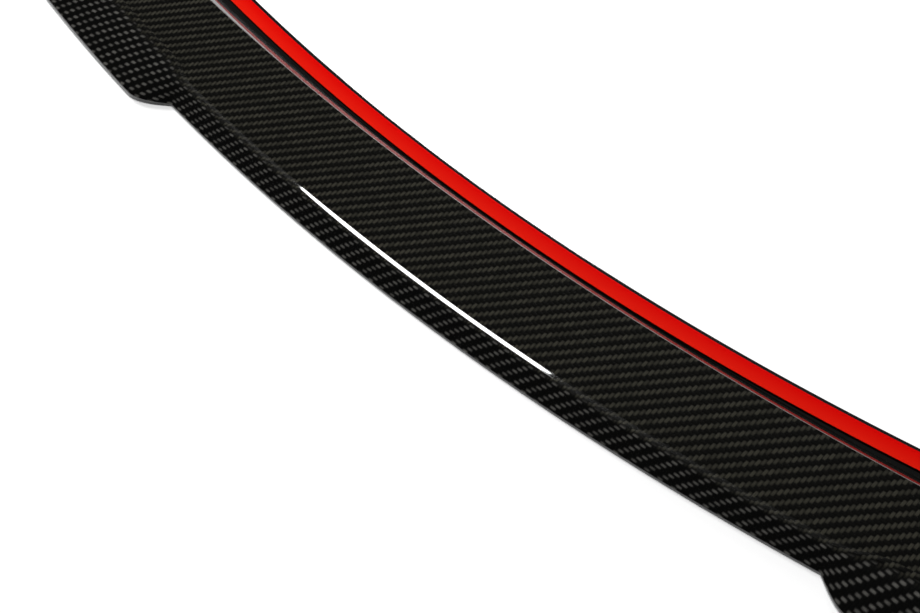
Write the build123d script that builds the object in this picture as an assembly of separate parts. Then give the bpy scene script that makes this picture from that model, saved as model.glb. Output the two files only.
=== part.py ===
from build123d import *
import math
import os

# Car lip spoiler: a thin moulded laminate, curved in plan, bonded along its concave edge.
# X runs along the length, Y from the free rim to the bonding flange, Z is up. Millimetres.

# Plan
plan_radius = 1700.0
step_plan_radius = 2100.0
half_length = 620.0
notch_half_spacing = 230.0
kick_length = 26.0
tip_radius = 98.0

# Laminate section, measured across the length
laminate = 2.0
main_width = 49.0
main_height = 6.8
crest_rise = 2.4
crest_run = 4.5
centre_rim_run = 15.0
centre_rim_height = 2.0
wing_rim_run = 29.0
wing_rim_height = 5.0
wing_crest_rise = 0.8
wing_crease_shift = 5.0
step_run = 5.0
step_flare = 0.22

# Bonding tape and its release liner
tape_width = 9.5
tape_thickness = 1.1
tape_setback = 0.4
flange_border = 1.2
tape_end_setback = 14.0
liner_thickness = 0.12

# Corner radii of the section's show side
centre_rim_radius = 1.0
wing_rim_radius = 3.5
crest_radius = 5.0
crease_radius = 2.5
arris_radius = 1.2
step_foot_radius = 0.9
small_radius = 0.4

# Sections along the centre, a kick and a wing
centre_section_count = 7
kick_section_count = 5
wing_section_count = 5
cutter_margin = 60.0

flange_outer = main_width + step_run + tape_setback + tape_width + flange_border
tape_inner = flange_outer - flange_border - tape_width
wing_start = notch_half_spacing + kick_length
curve_axis = Axis((0, plan_radius, 0), (0, 0, 1))


def arc_degrees(arc):
    return math.degrees(arc / plan_radius)


def crossing(first, second):
    # Point where two lines meet, each given as a point and a direction
    (ax, ay), (ux, uy) = first
    (bx, by), (vx, vy) = second
    along = ((bx - ax) * vy - (by - ay) * vx) / (ux * vy - uy * vx)
    return (ax + along * ux, ay + along * uy)


def underside(top):
    # Line parallel to the show side, one laminate below it
    lines = []
    for (ax, ay), (bx, by) in zip(top, top[1:]):
        length = math.hypot(bx - ax, by - ay)
        ux = (bx - ax) / length
        uy = (by - ay) / length
        lines.append(((ax + laminate * uy, ay - laminate * ux), (ux, uy)))
    floor = ((0.0, 0.0), (1.0, 0.0))
    corners = [crossing(floor, lines[0])]
    corners += [crossing(one, two) for one, two in zip(lines, lines[1:])]
    corners.append((top[-1][0], 0.0))
    return corners


def step_edge(arc):
    # Front edge of the main face, on a flatter plan arc than the rest
    turn = arc / plan_radius
    centre_offset = plan_radius - main_width - step_plan_radius
    across = math.sqrt(step_plan_radius ** 2 - (centre_offset * math.sin(turn)) ** 2)
    return plan_radius - centre_offset * math.cos(turn) - across


def section(arc):
    # Closed profile in the YZ plane at one place along the length
    share = min(max(abs(arc) - notch_half_spacing, 0.0) / kick_length, 1.0)
    ease = math.sin(share * math.pi / 2)
    rim_run = centre_rim_run + ease * (wing_rim_run - centre_rim_run)
    rim_height = centre_rim_height + ease * (wing_rim_height - centre_rim_height)
    rim_radius = centre_rim_radius + ease * (wing_rim_radius - centre_rim_radius)
    rise = crest_rise + ease * (wing_crest_rise - crest_rise)
    crease = ease * wing_crease_shift
    edge = step_edge(arc)
    step_foot = edge + step_run + step_flare * (main_width - edge)
    top = [
        (-rim_run, 0.0),
        (-rim_run, rim_height),
        (crease - crest_run, main_height + rise),
        (crease, main_height),
        (edge, main_height),
        (step_foot, laminate),
        (flange_outer, laminate),
    ]
    below = underside(top)
    bend_radii = [rim_radius, crest_radius, crease_radius, arris_radius, step_foot_radius]
    bend_sides = [1, 1, -1, 1, -1]
    below_radii = [max(radius - side * laminate, small_radius)
                   for radius, side in zip(bend_radii, bend_sides)]
    top_radii = [small_radius, *bend_radii, small_radius]
    rounded = [*zip(top, top_radii), *zip(below[1:-1], below_radii)]
    profile = Plane.YZ * make_face(Polyline(*top, *reversed(below), close=True))
    for (y, z), radius in rounded:
        corner = profile.vertices().sort_by_distance((0, y, z))[0]
        profile = fillet(corner, radius)
    return placed(profile.face(), arc)


def placed(face, arc):
    return face.rotate(curve_axis, arc_degrees(arc))


def lofted(start, end, count):
    spacing = (end - start) / (count - 1)
    return loft([section(start + index * spacing) for index in range(count)])


def strip(inner, width, bottom, thickness, half_arc):
    # Flat strip that follows the flange
    outline = Rectangle(width, thickness, align=(Align.MIN, Align.MIN))
    profile = Plane.YZ * Pos(inner, bottom) * outline
    return revolve(placed(profile.face(), -half_arc), curve_axis, arc_degrees(2 * half_arc))


def tip_cutter():
    # Waste outside the round tip, which runs from the wing's rim to the flange's outer edge
    reach = tip_radius + cutter_margin
    centre_arc = half_length - tip_radius
    block = Rectangle(reach, 2 * reach, align=(Align.MIN, Align.CENTER))
    waste = extrude(block - Circle(tip_radius), cutter_margin)
    waste = Pos(0, flange_outer, -cutter_margin / 2) * waste
    return waste.rotate(curve_axis, arc_degrees(centre_arc))


def spoiler_shell():
    centre = lofted(-notch_half_spacing, notch_half_spacing, centre_section_count)
    kick = lofted(notch_half_spacing, wing_start, kick_section_count)
    wing = lofted(wing_start, half_length, wing_section_count) - tip_cutter()
    side = kick + wing
    return centre + side + mirror(side, about=Plane.YZ)


shell = spoiler_shell()
tape_half_arc = half_length - tape_end_setback
tape = strip(tape_inner, tape_width, laminate, tape_thickness, tape_half_arc)
liner = strip(tape_inner, tape_width, laminate + tape_thickness, liner_thickness, tape_half_arc)

box = shell.bounding_box()
to_origin = Pos(0, -box.center().Y, -box.min.Z)

os.makedirs("parts", exist_ok=True)
export_step(to_origin * shell, "parts/spoiler_shell.step")
export_step(to_origin * tape, "parts/bonding_tape.step")
export_step(to_origin * liner, "parts/release_liner.step")
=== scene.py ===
import math

import bmesh
import bpy
from mathutils import Matrix, Vector


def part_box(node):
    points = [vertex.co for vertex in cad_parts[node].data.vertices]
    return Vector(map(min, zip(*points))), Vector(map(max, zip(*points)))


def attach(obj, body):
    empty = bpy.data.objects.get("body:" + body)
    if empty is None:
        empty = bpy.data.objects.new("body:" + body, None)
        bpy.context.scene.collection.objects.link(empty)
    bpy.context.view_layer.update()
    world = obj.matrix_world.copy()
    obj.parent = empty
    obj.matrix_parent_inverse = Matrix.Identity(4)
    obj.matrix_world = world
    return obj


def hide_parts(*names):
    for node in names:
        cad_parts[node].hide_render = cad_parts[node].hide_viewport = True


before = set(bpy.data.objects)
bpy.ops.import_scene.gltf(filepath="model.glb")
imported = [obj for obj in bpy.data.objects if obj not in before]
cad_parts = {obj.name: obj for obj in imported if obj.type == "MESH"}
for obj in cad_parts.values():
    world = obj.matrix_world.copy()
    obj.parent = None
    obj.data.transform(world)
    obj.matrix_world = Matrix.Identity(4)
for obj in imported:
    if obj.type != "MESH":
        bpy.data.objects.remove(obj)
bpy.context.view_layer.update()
mm = 0.001

# plan curve that every piece follows, in metres of arc: offsets run inwards from the crease
plan = {
    "radius": 1.7,
    "stepRadius": 2.1,
    "halfLength": 0.62,
    "notch": 0.23,
    "kick": 0.026,
    "tipRadius": 0.098,
    "tipBlend": 0.45,  # the ends are drawn in from here to the tips
    "arcStep": 0.002,
    "weld": 0.005 * mm,
}
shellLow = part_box("spoiler_shell")[0]


def planPoint(arc, offset, height, creaseY):
    turn = arc / plan["radius"]
    reach = plan["radius"] - offset
    return Vector((reach * math.sin(turn), creaseY + plan["radius"] - reach * math.cos(turn), height))


def planPlace(point, creaseY):
    depth = plan["radius"] + creaseY - point.y
    arc = plan["radius"] * math.atan2(point.x, depth)
    return arc, plan["radius"] - math.hypot(point.x, depth)


def newMaterial(name):
    material = bpy.data.materials.new(name)
    material.use_nodes = True
    return material, material.node_tree, material.node_tree.nodes["Principled BSDF"]


def setInputs(tree, node, values):
    for key, value in values.items():
        if isinstance(value, bpy.types.NodeSocket):
            tree.links.new(value, node.inputs[key])
        else:
            node.inputs[key].default_value = value


def addNode(tree, kind, settings, inputs):
    made = tree.nodes.new(kind)
    for name, value in settings.items():
        setattr(made, name, value)
    setInputs(tree, made, inputs)
    return made


def calc(tree, operation, first, second=0.0, third=0.0):
    made = addNode(tree, "ShaderNodeMath", {"operation": operation}, {0: first, 1: second, 2: third})
    return made.outputs[0]


def blendValue(tree, share, first, second):
    made = addNode(tree, "ShaderNodeMix", {"data_type": "FLOAT"}, {0: share, 2: first, 3: second})
    return made.outputs[0]


def blendColour(tree, share, first, second):
    made = addNode(tree, "ShaderNodeMix", {"data_type": "RGBA"}, {0: share, 6: first, 7: second})
    return made.outputs[2]


def objectNoise(tree, scale):
    point = addNode(tree, "ShaderNodeTexCoord", {}, {}).outputs["Object"]
    noise = addNode(tree, "ShaderNodeTexNoise", {}, {"Vector": point, "Scale": scale, "Detail": 2.0})
    return noise.outputs[0]


def creaseDistance(tree):
    return addNode(tree, "ShaderNodeAttribute", {"attribute_name": "fromCrease"}, {}).outputs["Fac"]


def hump(tree, share):
    # 0 at both ends of a span and 1 in its middle
    return calc(tree, "MULTIPLY", calc(tree, "MULTIPLY", share, calc(tree, "SUBTRACT", 1.0, share)), 4.0)


def addObject(name, bm, materials):
    mesh = bpy.data.meshes.new(name)
    bm.to_mesh(mesh)
    bm.free()
    made = bpy.data.objects.new(name, mesh)
    bpy.context.scene.collection.objects.link(made)
    for material in materials:
        mesh.materials.append(material)
    mesh.shade_smooth()
    return made


def flattenFaces(made):
    made.modifiers.new("flatFaces", "WEIGHTED_NORMAL").keep_sharp = True


# laminate section at mid-length: each corner's offset and height in mm, its bend's radius and segments
shell = {
    "laminate": 2.0 * mm,
    "top": [
        ((-15.0, 0.0), 0.4, 2),
        ((-15.0, 2.0), 1.0, 6),
        ((-4.5, 9.2), 5.0, 10),
        ((0.0, 6.8), 2.5, 6),
        ((49.0, 6.8), 0.8, 6),
        ((54.0, 2.0), 0.9, 6),
        ((65.8, 2.0), 0.4, 2),
    ],
    "belowBends": [(0.4, 2), (3.0, 6), (4.5, 6), (0.4, 2), (3.5, 4)],
    "wingRimRun": 29.0 * mm,
    "wingRimHeight": 5.0 * mm,
    "wingCrestDrop": 1.6 * mm,
    "wingRoll": (1.7 * mm, 5.0 * mm),  # depth and run
    "wingCreaseShift": 5.0 * mm,
    "stepFlare": 0.22,
    "footRun": 1.0 * mm,
    "wallStarts": (-0.45 * mm, 0.1 * mm),  # arris with a painted grey highlight and gloss wall, from the main face's edge
    "spanPiece": 5.5 * mm,
    "clothFollow": 0.4,  # share of the rear face's shift that the weave follows
    "tow": 2.0 * mm,
    "clothTurn": math.radians(-1.03),
    "flangeTolerance": 0.001 * mm,
}


def crossing(first, second):
    (ax, ay), (ux, uy) = first
    (bx, by), (vx, vy) = second
    along = ((bx - ax) * vy - (by - ay) * vx) / (ux * vy - uy * vx)
    return ax + along * ux, ay + along * uy


def undersideCorners(top):
    lines = []
    for (ax, ay), (bx, by) in zip(top, top[1:]):
        length = math.hypot(bx - ax, by - ay)
        ux, uy = (bx - ax) / length, (by - ay) / length
        lines.append(((ax + shell["laminate"] * uy, ay - shell["laminate"] * ux), (ux, uy)))
    corners = [crossing(((0.0, 0.0), (1.0, 0.0)), lines[0])]
    corners += [crossing(one, two) for one, two in zip(lines, lines[1:])]
    return corners + [(top[-1][0], 0.0)]


def roundCorner(bm, vert, radius, segments):
    ends = [edge.other_vert(vert).co - vert.co for edge in vert.link_edges]
    turn = math.pi - ends[0].angle(ends[1])
    bmesh.ops.bevel(bm, geom=[vert], offset=radius * math.tan(turn / 2), offset_type="OFFSET",
                    segments=segments, profile=0.5, affect="VERTICES", material=-1)


def cutSpans(bm, longest):
    for edge in list(bm.edges):
        cuts = int(edge.calc_length() / longest)
        if cuts:
            bmesh.ops.subdivide_edges(bm, edges=[edge], cuts=cuts)


def wireLoop(bm, corners, creaseY):
    verts = [bm.verts.new((0.0, creaseY + offset, height)) for offset, height in corners]
    for one, two in zip(verts, verts[1:] + verts[:1]):
        bm.edges.new((one, two))
    return verts


def spinAlong(bm, creaseY, halfArc):
    turn = halfArc / plan["radius"]
    centre = Vector((0.0, creaseY + plan["radius"], 0.0))
    bmesh.ops.rotate(bm, verts=bm.verts[:], cent=centre, matrix=Matrix.Rotation(-turn, 3, "Z"))
    steps = round(2 * halfArc / plan["arcStep"])
    bmesh.ops.spin(bm, geom=bm.verts[:] + bm.edges[:], cent=centre, axis=(0.0, 0.0, 1.0),
                   angle=2 * turn, steps=steps, use_duplicate=False)
    bmesh.ops.remove_doubles(bm, verts=bm.verts[:], dist=plan["weld"])


def stepShift(arc, mainWidth):
    turn = arc / plan["radius"]
    offset = plan["radius"] - mainWidth - plan["stepRadius"]
    reach = math.sqrt(plan["stepRadius"] ** 2 - (offset * math.sin(turn)) ** 2)
    return plan["radius"] - offset * math.cos(turn) - reach - mainWidth


def kickShare(arc):
    return min(max((abs(arc) - plan["notch"]) / plan["kick"], 0.0), 1.0)


def tipArc(arc, offset, outer):
    start = plan["tipBlend"]
    if abs(arc) <= start:
        return arc
    reach, inner = plan["radius"] - offset, plan["radius"] - outer
    cosine = (reach ** 2 + inner ** 2 - plan["tipRadius"] ** 2) / (2 * reach * inner)
    end = plan["halfLength"] - plan["tipRadius"] + plan["radius"] * math.acos(min(cosine, 1.0))
    end = min(end, plan["halfLength"])
    share = (abs(arc) - start) / (plan["halfLength"] - start)
    return math.copysign(start + share * (end - start), arc)


def between(value, knots):
    for (low, first), (high, second) in zip(knots, knots[1:]):
        if value <= high:
            return first + (second - first) * max(value - low, 0.0) / (high - low)
    return knots[-1][1]


def buildShell(creaseY, materials):
    top = [(offset * mm, height * mm) for (offset, height), radius, segments in shell["top"]]
    below = undersideCorners(top)
    bm = bmesh.new()
    verts = wireLoop(bm, top + below[::-1], creaseY)
    bends = [(radius, segments) for corner, radius, segments in shell["top"]]
    bends += [None] + shell["belowBends"][::-1] + [None]
    for vert, bend in zip(verts, bends):
        if bend:
            roundCorner(bm, vert, bend[0] * mm, bend[1])
    cutSpans(bm, shell["spanPiece"])
    # how far along the cloth each point lies from the crease, and which side it is on
    cloth = bm.verts.layers.float.new("fromCrease")
    side = bm.verts.layers.int.new("side")
    markCloth(bm, cloth, side, creaseY)
    mainEdge = top[4][0]
    arrisStart, wallStart = (mainEdge + start for start in shell["wallStarts"])
    spinAlong(bm, creaseY, plan["halfLength"])
    capEnds(bm)
    places = moveToSection(bm, top, creaseY)
    bmesh.ops.recalc_face_normals(bm, faces=bm.faces[:])
    layCloth(bm, cloth, places)
    for face in bm.faces:
        face.material_index = 0 if any(vert[side] for vert in face.verts) else 1
        nearest = min(vert[cloth] for vert in face.verts)
        # arris faces get the material with the painted grey highlight line
        if face.material_index == 0 and nearest > arrisStart:
            face.material_index = 3 if nearest > wallStart else 2
    return addObject("spoilerShell", bm, materials)


def markCloth(bm, cloth, side, creaseY):
    rimFoot = min(bm.verts, key=lambda vert: (round(vert.co.y, 6), vert.co.z))
    outer = max(vert.co.y for vert in bm.verts)
    walk, vert, last, length = [], rimFoot, None, 0.0
    while True:
        walk.append((vert, length))
        nexts = [edge.other_vert(vert) for edge in vert.link_edges if edge.other_vert(vert) is not last]
        if last is None:
            nexts.sort(key=lambda other: -other.co.z)
        if nexts[0] is rimFoot:
            break
        length += (nexts[0].co - vert.co).length
        last, vert = vert, nexts[0]
    outer -= shell["flangeTolerance"]
    flangeEnd = next(index for index, (vert, length) in enumerate(walk) if vert.co.y > outer)
    creaseLength = min(walk[:flangeEnd], key=lambda item: abs(item[0].co.y - creaseY))[1]
    for index, (vert, length) in enumerate(walk):
        vert[side] = int(index <= flangeEnd)
        vert[cloth] = length - creaseLength if index <= flangeEnd else vert.co.y - creaseY


def capEnds(bm):
    edges = [edge for edge in bm.edges if edge.is_boundary]
    ends = [[edge for edge in edges if edge.verts[0].co.x * sign > 0] for sign in (-1, 1)]
    for loop in ends:
        bmesh.ops.contextual_create(bm, geom=loop)


def moveToSection(bm, top, creaseY):
    rim, rimTop, crest, crease, arris, foot, outer = top
    flat = foot[0] + shell["footRun"]
    rollDepth, rollRun = shell["wingRoll"]
    places = {}
    for vert in bm.verts:
        arc, offset = planPlace(vert.co, creaseY)
        share, edge = kickShare(arc), stepShift(arc, arris[0])
        ease = math.sin(share * math.pi / 2)
        turnIn = share * share * (3 - 2 * share) * shell["wingCreaseShift"]
        footShift = edge * (1 - shell["stepFlare"])
        rimShift = -ease * (shell["wingRimRun"] + rim[0])
        shift = between(offset, [
            (rim[0], rimShift), (crest[0], turnIn), (crease[0], turnIn), (arris[0], edge),
            (foot[0], footShift), (flat, footShift), (flat + shell["footRun"], 0.0), (outer[0], 0.0)])
        moved = offset + shift
        # the wing's rim stands higher and rolls over, and its crest fades out
        rise = ease * (shell["wingRimHeight"] - rimTop[1])
        lift = between(offset, [
            (rim[0], rise), (crest[0], -ease * shell["wingCrestDrop"]), (crease[0], 0.0), (outer[0], 0.0)])
        lift -= ease * rollDepth * max(1 - (moved - rim[0] - rimShift) / rollRun, 0.0) ** 2
        lift *= min(vert.co.z / rimTop[1], 1.0)
        bent = tipArc(arc, moved, outer[0])
        places[vert] = (bent, shift * (shell["clothFollow"] if offset < crease[0] else 1.0))
        vert.co = planPoint(bent, moved, vert.co.z + lift, creaseY)
    return places


def layCloth(bm, cloth, places):
    uvLayer = bm.loops.layers.uv.new("cloth")
    turn = Matrix.Rotation(shell["clothTurn"], 3, "Z")
    for face in bm.faces:
        for loop in face.loops:
            arc, shift = places[loop.vert]
            flat = turn @ planPoint(arc, loop.vert[cloth] + shift, 0.0, 0.0)
            loop[uvLayer].uv = (flat.x / shell["tow"], flat.y / shell["tow"])


twill = {"repeat": 4.0, "over": 1.5, "streakGap": 7.0}  # two tows over and two under


def weaveMaterial(name, look):
    material, tree, shader = newMaterial(name)
    uv = addNode(tree, "ShaderNodeUVMap", {"uv_map": "cloth"}, {}).outputs[0]
    parts = addNode(tree, "ShaderNodeSeparateXYZ", {}, {0: uv}).outputs
    u, v = parts[0], parts[1]
    column, row = calc(tree, "FLOOR", u), calc(tree, "FLOOR", v)
    place = calc(tree, "SUBTRACT", column, row)
    over = calc(tree, "LESS_THAN", calc(tree, "FLOORED_MODULO", place, twill["repeat"]), twill["over"])
    # where each point lies across and along the tow that is on top there
    across = blendValue(tree, over, calc(tree, "FRACT", v), calc(tree, "FRACT", u))
    alongV = calc(tree, "ADD", calc(tree, "SUBTRACT", v, column), 1.0)
    alongU = calc(tree, "SUBTRACT", calc(tree, "SUBTRACT", u, row), 2.0)
    run = calc(tree, "DIVIDE", blendValue(tree, over, alongU, alongV), twill["repeat"])
    along = calc(tree, "MULTIPLY", calc(tree, "FRACT", run), twill["repeat"] / 2)
    crown, arch = hump(tree, across), hump(tree, along)
    height = calc(tree, "POWER", calc(tree, "MULTIPLY", crown, arch), 0.5)
    # fine fibre streaks along each tow
    streakPoint = addNode(tree, "ShaderNodeCombineXYZ", {}, {
        0: calc(tree, "MULTIPLY", blendValue(tree, over, v, u), look["fibres"]),
        1: blendValue(tree, over, u, v), 2: calc(tree, "MULTIPLY", over, twill["streakGap"])}).outputs[0]
    streak = addNode(tree, "ShaderNodeTexNoise", {}, {
        "Vector": streakPoint, "Scale": 1.0, "Detail": 1.0}).outputs[0]
    # painted sheen: one tow family is painted lit on the main face and the other on the rear face, for how
    # the light falls on each face
    rear = addNode(tree, "ShaderNodeMapRange", {"interpolation_type": "SMOOTHSTEP"}, {
        "Value": creaseDistance(tree), "From Min": look["rearStart"], "From Max": look["rearFull"],
        "To Min": 0.0, "To Max": 1.0}).outputs[0]
    mainPaintedTone = blendColour(tree, over, look["shadedWeft"], look["litWarp"])
    rearPaintedTone = blendColour(tree, over, look["rearLitWeft"], look["rearShadedWarp"])
    tow = blendColour(tree, rear, mainPaintedTone, rearPaintedTone)
    spreads = [blendValue(tree, rear, one, two) for one, two in zip(look["spread"], look["rearSpread"])]
    paintedSheen = calc(tree, "MULTIPLY", calc(tree, "POWER", crown, spreads[0]),
                 calc(tree, "POWER", arch, spreads[1]))
    fibreTone = blendValue(tree, look["streak"], 1.0, calc(tree, "MULTIPLY", streak, 2.0))
    paintedSheen = calc(tree, "MULTIPLY", paintedSheen, fibreTone)
    # the painted sheen is made stronger or weaker at random from one float to the next
    floatPlace = addNode(tree, "ShaderNodeCombineXYZ", {}, {
        0: blendValue(tree, over, row, column), 1: calc(tree, "FLOOR", run), 2: over}).outputs[0]
    jitter = addNode(tree, "ShaderNodeTexWhiteNoise", {}, {"Vector": floatPlace}).outputs[0]
    paintedSheen = calc(tree, "MULTIPLY", paintedSheen, blendValue(tree, jitter, *look["jitter"]))
    # the base colour carries the painted sheen, brightest on each float's crown and fading to the dark
    # base at its edges
    colour = blendColour(tree, paintedSheen, look["unlitBase"], tow)
    bump = addNode(tree, "ShaderNodeBump", {}, {
        "Height": height, "Distance": look["relief"], "Strength": 1.0}).outputs[0]
    setInputs(tree, shader, {
        "Base Color": colour, "Roughness": look["roughness"], "Normal": bump,
        "Specular IOR Level": look["shine"], "Coat Weight": look["coat"],
        "Coat Roughness": look["coatRoughness"], "Coat IOR": look["coatIor"]})
    return material


showLook = {
    # tow colours are painted sheen: the same black fibre is painted lit or shaded by tow family and by
    # face, over a dark base
    "litWarp": (0.030, 0.0285, 0.0216, 1.0),
    "shadedWeft": (0.0022, 0.0021, 0.0016, 1.0),
    "unlitBase": (0.0006, 0.0006, 0.0005, 1.0),
    "rearShadedWarp": (0.0012, 0.0012, 0.001, 1.0),
    "rearLitWeft": (0.078, 0.0758, 0.0695, 1.0),
    "rearStart": -3.2 * mm,
    "rearFull": -6.0 * mm,
    "spread": (0.4, 0.5),  # how far the painted shine reaches across and along a tow
    "rearSpread": (2.6, 1.0),
    "jitter": (0.65, 1.2),
    "streak": 0.5,
    "fibres": 12.0,
    "relief": 0.1 * mm,
    "roughness": 0.5,
    "shine": 0.02,
    "coat": 1.0,
    "coatRoughness": 0.02,
    "coatIor": 1.65,
}
innerLook = dict(showLook, coat=0.0, roughness=0.6)


def stepMaterial(name, look):
    material, tree, shader = newMaterial(name)
    cloud = objectNoise(tree, look["cloudScale"])
    # the coat's normal leans by a fixed slope across the wall
    lean = calc(tree, "MULTIPLY", creaseDistance(tree), look["tilt"])
    bump = addNode(tree, "ShaderNodeBump", {}, {"Height": lean, "Distance": 1.0, "Strength": 1.0})
    setInputs(tree, shader, {
        "Base Color": blendColour(tree, cloud, look["dark"], look["light"]),
        "Roughness": 0.5, "Specular IOR Level": look["shine"], "Coat Weight": look["coat"],
        "Coat Roughness": look["coatRoughness"], "Coat IOR": look["coatIor"],
        "Coat Normal": bump.outputs["Normal"]})
    return material


wallLook = {
    "dark": (0.0012, 0.0012, 0.001, 1.0),
    "light": (0.004, 0.0039, 0.0034, 1.0),
    "cloudScale": 300.0,
    "shine": 0.06,
    "coat": 1.0,
    "coatRoughness": 0.04,
    "coatIor": 2.3,
    "tilt": 0.035,
}
# painted highlight: the arris's base colour is a light grey standing in for the light line along the main
# face's edge
arrisHighlightLook = dict(wallLook, dark=(0.08, 0.066, 0.064, 1.0), light=(0.13, 0.11, 0.105, 1.0),
                 coat=0.25, coatRoughness=0.35, coatIor=1.5, tilt=0.0)
wallMaterial = stepMaterial("stepGloss", wallLook)
arrisHighlightMaterial = stepMaterial("arrisPaintedHighlight", arrisHighlightLook)
rimOffset = shell["top"][0][0][0] * mm
creaseY = shellLow[1] - rimOffset  # the rim at mid-length is the solid's lowest y
showMaterial = weaveMaterial("clearTwill", showLook)
innerMaterial = weaveMaterial("bareTwill", innerLook)
shellPiece = buildShell(creaseY, [showMaterial, innerMaterial, arrisHighlightMaterial, wallMaterial])
flattenFaces(shellPiece)
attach(shellPiece, "root")
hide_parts("spoiler_shell")
print("shell", len(shellPiece.data.polygons))

# foam tape and its liner share one outline in plan
tape = {
    "inner": 54.4 * mm,
    "width": 8.9 * mm,
    "low": 2.0 * mm,
    "thick": 1.1 * mm,
    "round": 0.18 * mm,
    "roundSegments": 3,
    "halfArc": 606.0 * mm,
    "spanPiece": 2.0 * mm,
    "cellScale": 2500.0,
    "cellDepth": 0.05 * mm,
    "dark": (0.004, 0.004, 0.004, 1.0),
    "light": (0.016, 0.016, 0.016, 1.0),
}
liner = {
    "low": 3.1 * mm,
    "thick": 0.12 * mm,
    "round": 0.05 * mm,
    "innerEdge": (0.62, 0.010, 0.003, 1.0),
    "outerEdge": (0.56, 0.0005, 0.0005, 1.0),
    "cloud": (0.56, 0.003, 0.002, 1.0),
    "cloudScale": 60.0,
    "cloudShare": 0.2,
}


def buildStrip(name, strip, material):
    bm = bmesh.new()
    inner, outer = tape["inner"], tape["inner"] + tape["width"]
    low, high = strip["low"], strip["low"] + strip["thick"]
    corners = [(inner, low), (outer, low), (outer, high), (inner, high)]
    for vert in wireLoop(bm, corners, creaseY):
        roundCorner(bm, vert, strip["round"], tape["roundSegments"])
    cutSpans(bm, tape["spanPiece"])
    spinAlong(bm, creaseY, tape["halfArc"])
    capEnds(bm)
    bmesh.ops.recalc_face_normals(bm, faces=bm.faces[:])
    uvLayer = bm.loops.layers.uv.new("strip")
    for face in bm.faces:
        for loop in face.loops:
            arc, offset = planPlace(loop.vert.co, creaseY)
            loop[uvLayer].uv = (arc / mm, (offset - inner) / tape["width"])
    made = addObject(name, bm, [material])
    flattenFaces(made)
    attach(made, "root")
    return made


def foamMaterial():
    material, tree, shader = newMaterial("foam")
    cells = objectNoise(tree, tape["cellScale"])
    bump = addNode(tree, "ShaderNodeBump", {}, {"Height": cells, "Distance": tape["cellDepth"]})
    setInputs(tree, shader, {
        "Base Color": blendColour(tree, cells, tape["dark"], tape["light"]),
        "Roughness": 0.85, "Specular IOR Level": 0.2, "Normal": bump.outputs[0]})
    return material


def linerMaterial():
    material, tree, shader = newMaterial("linerFilm")
    uv = addNode(tree, "ShaderNodeUVMap", {"uv_map": "strip"}, {}).outputs[0]
    across = addNode(tree, "ShaderNodeSeparateXYZ", {}, {0: uv}).outputs[1]
    tone = blendColour(tree, across, liner["innerEdge"], liner["outerEdge"])
    cloud = calc(tree, "MULTIPLY", objectNoise(tree, liner["cloudScale"]), liner["cloudShare"])
    setInputs(tree, shader, {
        "Base Color": blendColour(tree, cloud, tone, liner["cloud"]),
        "Roughness": 0.5, "Specular IOR Level": 0.02})
    return material


tapePiece = buildStrip("foamTape", tape, foamMaterial())
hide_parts("bonding_tape")
linerPiece = buildStrip("linerFilm", liner, linerMaterial())
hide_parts("release_liner")
print("strips", len(tapePiece.data.polygons), len(linerPiece.data.polygons))

# floor, light and camera
stage = {
    "floorSize": 8.0,
    "floorColour": (0.93, 0.93, 0.93, 1.0),
    "floorGlow": 0.1,
    "worldColour": (0.5, 0.5, 0.5, 1.0),
    "worldStrength": 0.06,
}
bm = bmesh.new()
bmesh.ops.create_grid(bm, x_segments=1, y_segments=1, size=stage["floorSize"] / 2)


def floorMaterial():
    material, tree, shader = newMaterial("paleFloor")
    seen = addNode(tree, "ShaderNodeLightPath", {}, {}).outputs["Is Camera Ray"]
    setInputs(tree, shader, {
        "Base Color": stage["floorColour"], "Roughness": 1.0, "Specular IOR Level": 0.0,
        "Emission Color": (1.0, 1.0, 1.0, 1.0),
        "Emission Strength": calc(tree, "MULTIPLY", seen, stage["floorGlow"])})
    return material


floor = addObject("floor", bm, [floorMaterial()])


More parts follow.
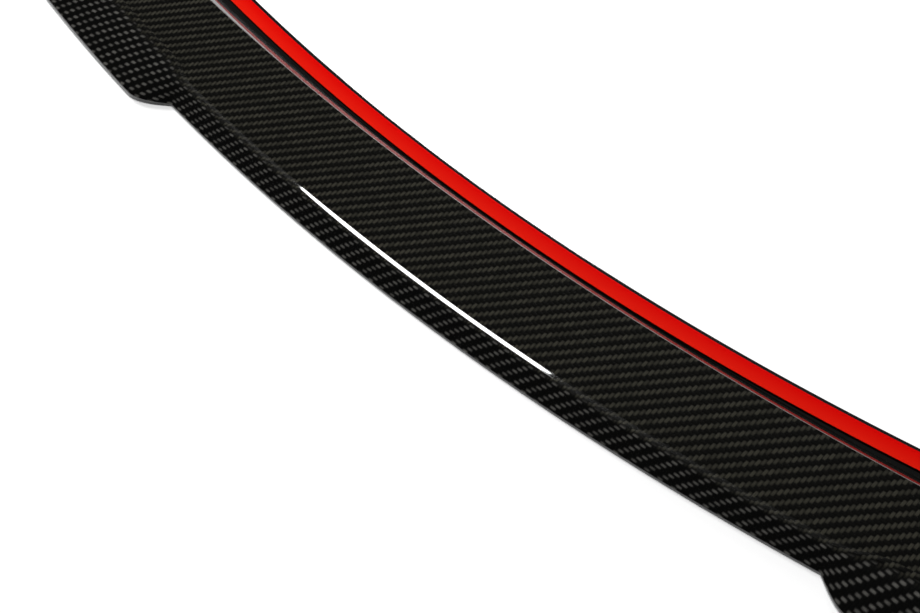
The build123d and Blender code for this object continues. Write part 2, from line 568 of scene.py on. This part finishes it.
# the strip makes the highlight along the crest, and the coat doesn't mirror the other two
softboxes = {
    "stripSoftbox": {
        "place": (-0.900, 1.254, 0.45), "aim": (0.0, -0.08, 0.45), "size": (0.292, 0.84),
        "power": 15.0, "lean": math.radians(-9.0), "mirrored": True},
    "sideSoftbox": {
        "place": (-1.62, 0.26, 0.72), "aim": (0.0, -0.05, 0.0), "size": (0.5, 0.5),
        "power": 27.0, "lean": 0.0, "mirrored": False},
    "topSoftbox": {
        "place": (0.1, 0.1, 2.6), "aim": (0.0, 0.0, 0.0), "size": (0.8, 0.8),
        "power": 46.0, "lean": 0.0, "mirrored": False},
}


def facing(place, aim, roll):
    look = (Vector(aim) - Vector(place)).to_track_quat("-Z", "Y").to_matrix()
    return look @ Matrix.Rotation(roll, 3, "Z")


for name, box in softboxes.items():
    lamp = bpy.data.lights.new(name, "AREA")
    lamp.shape = "RECTANGLE"
    lamp.size, lamp.size_y = box["size"]
    lamp.energy = box["power"]
    lampObject = bpy.data.objects.new(name, lamp)
    lampObject.location = box["place"]
    lampObject.rotation_euler = facing(box["place"], box["aim"], box["lean"]).to_euler()
    lampObject.visible_glossy = box["mirrored"]
    bpy.context.scene.collection.objects.link(lampObject)

world = bpy.data.worlds.new("studio")
world.use_nodes = True
setInputs(world.node_tree, world.node_tree.nodes["Background"], {
    "Color": stage["worldColour"], "Strength": stage["worldStrength"]})
bpy.context.scene.world = world

# place and aim are measured from the crease at mid-length
view = {
    "place": (0.54044, -0.36862, 0.81672),
    "aim": (0.00147, 0.00137, 0.0068),
    "roll": math.radians(-12.8213),
    "lens": 81.633,
    "sensor": 36.0,
}
cameraData = bpy.data.cameras.new("camera")
cameraData.lens = view["lens"]
cameraData.sensor_width = view["sensor"]
camera = bpy.data.objects.new("camera", cameraData)
crease = Vector((0.0, creaseY, 0.0))
place, aim = Vector(view["place"]) + crease, Vector(view["aim"]) + crease
camera.matrix_world = Matrix.Translation(place) @ facing(place, aim, view["roll"]).to_4x4()
bpy.context.scene.collection.objects.link(camera)
bpy.context.scene.camera = camera
bpy.context.scene.view_settings.view_transform = "Standard"
print("stage", len(softboxes), "lights")
